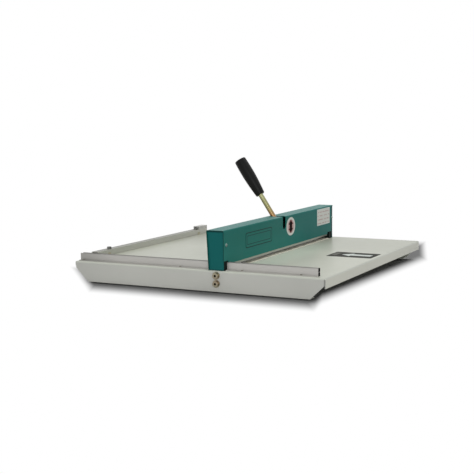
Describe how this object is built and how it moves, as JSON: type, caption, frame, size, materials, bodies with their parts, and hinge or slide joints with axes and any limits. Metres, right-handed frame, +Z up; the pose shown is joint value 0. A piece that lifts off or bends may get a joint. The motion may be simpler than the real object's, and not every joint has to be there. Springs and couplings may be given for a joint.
{
  "type": "lever guillotine paper cutter",
  "caption": "Table-top paper cutter: a hand lever in a slotted teal cover presses a full-width blade bar down over a paper slot, on a grey steel table with side fences and sliding back gauge.",
  "frame": {"origin": "middle of the table's footprint, on the surface that the rubber feet stand on", "axes": "+X along the blade towards the end where the cover stops short of the table, -Y towards the operator, +Z up"},
  "size_m": [0.6124, 0.58, 0.2588],
  "materials": {
    "tray_paint": "light grey powder coat, fine texture",
    "foot_rubber": "moulded black rubber",
    "zinc_steel": "zinc plated",
    "beam_aluminium": "mill finish",
    "yellow_zinc": "yellow passivated zinc",
    "black_steel": "black oxide",
    "die_cream": "cream, moulded",
    "die_steel": "hardened, dark",
    "teal_paint": "teal green powder coat, satin",
    "dark_teal_paint": "darker teal powder coat",
    "guard_paint": "light grey paint",
    "fence_aluminium": "satin anodised",
    "bronze": "sintered bronze",
    "spring_steel": "drawn wire",
    "shaft_steel": "ground",
    "cam_steel": "hardened",
    "grip_plastic": "black, soft touch",
    "bar_steel": "ground flat",
    "blade_steel": "bright ground",
    "gauge_aluminium": "satin anodised",
    "plug_plastic": "grey",
    "knob_steel": "knurled, dark",
    "block_plastic": "light grey",
    "magnet_brown": "brown coated magnet"
  },
  "bodies": {
    "base": {"table_tray": "tray_paint", "rubber_feet": "foot_rubber", "foot_screws": "zinc_steel", "bed_beam": "beam_aluminium", "flange_screws": "yellow_zinc", "flange_washers": "yellow_zinc", "near_end_frame": "black_steel", "far_end_frame": "black_steel", "frame_screws": "black_steel", "front_die_strip": "die_cream", "rear_die_strip": "die_steel", "die_screws": "zinc_steel", "cover_shell": "teal_paint", "near_end_plate": "dark_teal_paint", "far_end_plate": "dark_teal_paint", "cover_screws": "zinc_steel", "front_guard": "guard_paint", "rear_guard": "guard_paint", "infeed_fence": "fence_aluminium", "outfeed_fence": "fence_aluminium", "fence_screws": "black_steel", "shaft_bushes": "bronze", "return_springs": "spring_steel"},
    "lever": {"drive_shaft": "shaft_steel", "lever_hub": "cam_steel", "near_cam": "cam_steel", "far_cam": "cam_steel", "drive_pins": "black_steel", "shaft_collars": "black_steel", "lever_rod": "yellow_zinc", "lever_grip": "grip_plastic"},
    "blade_carriage": {"blade_bar": "bar_steel", "cutting_blade": "blade_steel", "blade_clamp": "bar_steel", "clamp_screws": "black_steel", "follower_buttons": "bronze"},
    "back_gauge": {"gauge_bar": "gauge_aluminium", "gauge_end_plug": "plug_plastic", "gauge_push_block": "block_plastic", "gauge_magnets": "magnet_brown"},
    "near_knob": {"near_gauge_knob": "knob_steel"},
    "far_knob": {"far_gauge_knob": "knob_steel"}
  },
  "joints": [
    {"name": "lever_swing", "type": "hinge", "parent": "base", "child": "lever", "pos_m": [-0.00725, -0.0546, 0.113], "axis": [1, 0, 0], "range_deg": [0, 125]},
    {"name": "blade_slide", "type": "slide", "parent": "base", "child": "blade_carriage", "axis": [0, 0, -1], "range_m": [0, 0.0062], "stiffness_N_per_m": 1500, "springref_m": -0.022, "deforming": ["return_springs"]},
    {"name": "gauge_slide", "type": "slide", "parent": "base", "child": "back_gauge", "axis": [0, -1, 0], "range_m": [0, 0.28]},
    {"name": "near_knob_turn", "type": "hinge", "parent": "back_gauge", "child": "near_knob", "pos_m": [-0.192, 0.2756, 0.0588], "axis": [0, 0, 1], "range_deg": [0, 90]},
    {"name": "far_knob_turn", "type": "hinge", "parent": "back_gauge", "child": "far_knob", "pos_m": [0.205, 0.2756, 0.0588], "axis": [0, 0, 1], "range_deg": [0, 90]}
  ],
  "couplings": [
    {"joint": "blade_slide", "follows": "lever_swing", "m_per_rad": 0.0028418}
  ]
}
